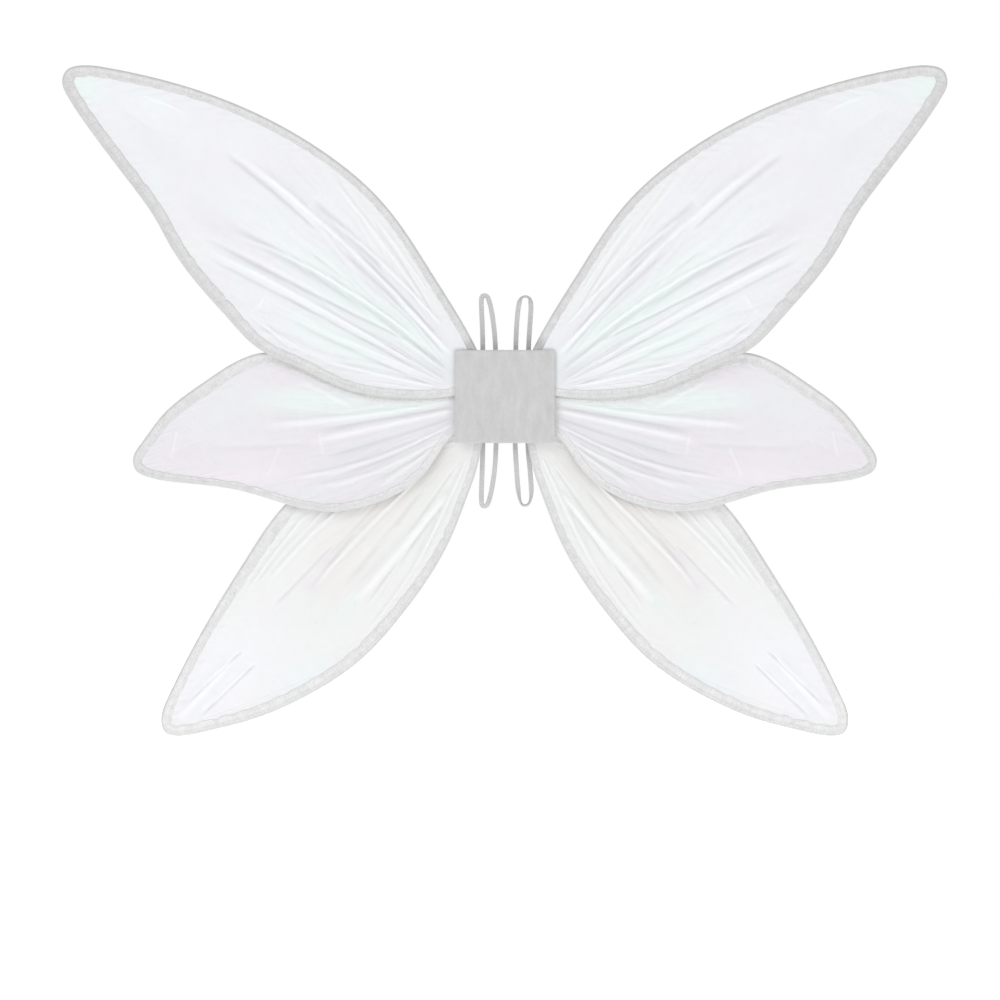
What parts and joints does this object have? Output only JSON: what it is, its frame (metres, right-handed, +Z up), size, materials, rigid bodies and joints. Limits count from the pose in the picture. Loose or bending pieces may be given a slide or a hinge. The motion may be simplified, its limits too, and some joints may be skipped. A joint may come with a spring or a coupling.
{
  "type": "fairy wings",
  "caption": "Wire-framed iridescent film wings in three tiers a side, hemmed in woven tape, gathered in a felt back pad with elastic arm loops.",
  "frame": {"origin": "middle of the pad's back face, which lies on the wearer's back", "axes": "+X to the right side as seen from the front, +Y towards the wearer, +Z up"},
  "size_m": [0.6, 0.0343, 0.4556],
  "materials": {
    "felt": "short-pile needle felt",
    "hem": "fine plain-woven tape, slightly see-through",
    "film_upper": "thin iridescent film",
    "film_middle": "thin iridescent film",
    "film_lower": "thin iridescent film",
    "wire": "drawn galvanised wire",
    "ferrule": "crimped tube",
    "glue": "set hot-melt",
    "elastic": "flat braided elastic",
    "thread": "twisted sewing thread"
  },
  "bodies": {
    "pad": {"front_felt": "felt", "back_felt": "felt"},
    "left_upper": {"left_upper_wire": "wire", "left_upper_hem": "hem", "left_upper_film": "film_upper"},
    "left_lower": {"left_lower_wire": "wire", "left_lower_hem": "hem", "left_lower_film": "film_lower"},
    "left_half": {"left_upper_wire_root": "wire", "left_upper_hem_root": "hem", "left_upper_film_root": "film_upper", "left_middle_wire": "wire", "left_middle_hem": "hem", "left_middle_film": "film_middle", "left_lower_wire_root": "wire", "left_lower_hem_root": "hem", "left_lower_film_root": "film_lower", "left_glue": "glue", "left_ferrules": "ferrule", "left_strap": "elastic", "left_strap_tacks": "thread"},
    "right_upper": {"right_upper_wire": "wire", "right_upper_hem": "hem", "right_upper_film": "film_upper"},
    "right_lower": {"right_lower_wire": "wire", "right_lower_hem": "hem", "right_lower_film": "film_lower"},
    "right_half": {"right_upper_wire_root": "wire", "right_upper_hem_root": "hem", "right_upper_film_root": "film_upper", "right_middle_wire": "wire", "right_middle_hem": "hem", "right_middle_film": "film_middle", "right_lower_wire_root": "wire", "right_lower_hem_root": "hem", "right_lower_film_root": "film_lower", "right_glue": "glue", "right_ferrules": "ferrule", "right_strap": "elastic", "right_strap_tacks": "thread"}
  },
  "joints": [
    {"name": "left_fold", "type": "hinge", "parent": "pad", "child": "left_half", "pos_m": [-0.0065, -0.0056, 0], "axis": [0, 0, -1], "range_deg": [-45, 45], "deforming": ["front_felt", "back_felt"]},
    {"name": "left_upper_bend", "type": "hinge", "parent": "left_half", "child": "left_upper", "pos_m": [-0.03904, -0.0083, 0.02824], "axis": [0.5861, 0, 0.8102], "range_deg": [0, 15]},
    {"name": "left_lower_bend", "type": "hinge", "parent": "left_half", "child": "left_lower", "pos_m": [-0.03432, -0.003, -0.03355], "axis": [0.6991, 0, -0.7151], "range_deg": [0, 15]},
    {"name": "right_fold", "type": "hinge", "parent": "pad", "child": "right_half", "pos_m": [0.0065, -0.0056, 0], "axis": [0, 0, 1], "range_deg": [-45, 45], "deforming": ["front_felt", "back_felt"]},
    {"name": "right_upper_bend", "type": "hinge", "parent": "right_half", "child": "right_upper", "pos_m": [0.03904, -0.0083, 0.02824], "axis": [0.5861, 0, -0.8102], "range_deg": [0, 15]},
    {"name": "right_lower_bend", "type": "hinge", "parent": "right_half", "child": "right_lower", "pos_m": [0.03432, -0.003, -0.03355], "axis": [0.6991, 0, 0.7151], "range_deg": [0, 15]}
  ]
}
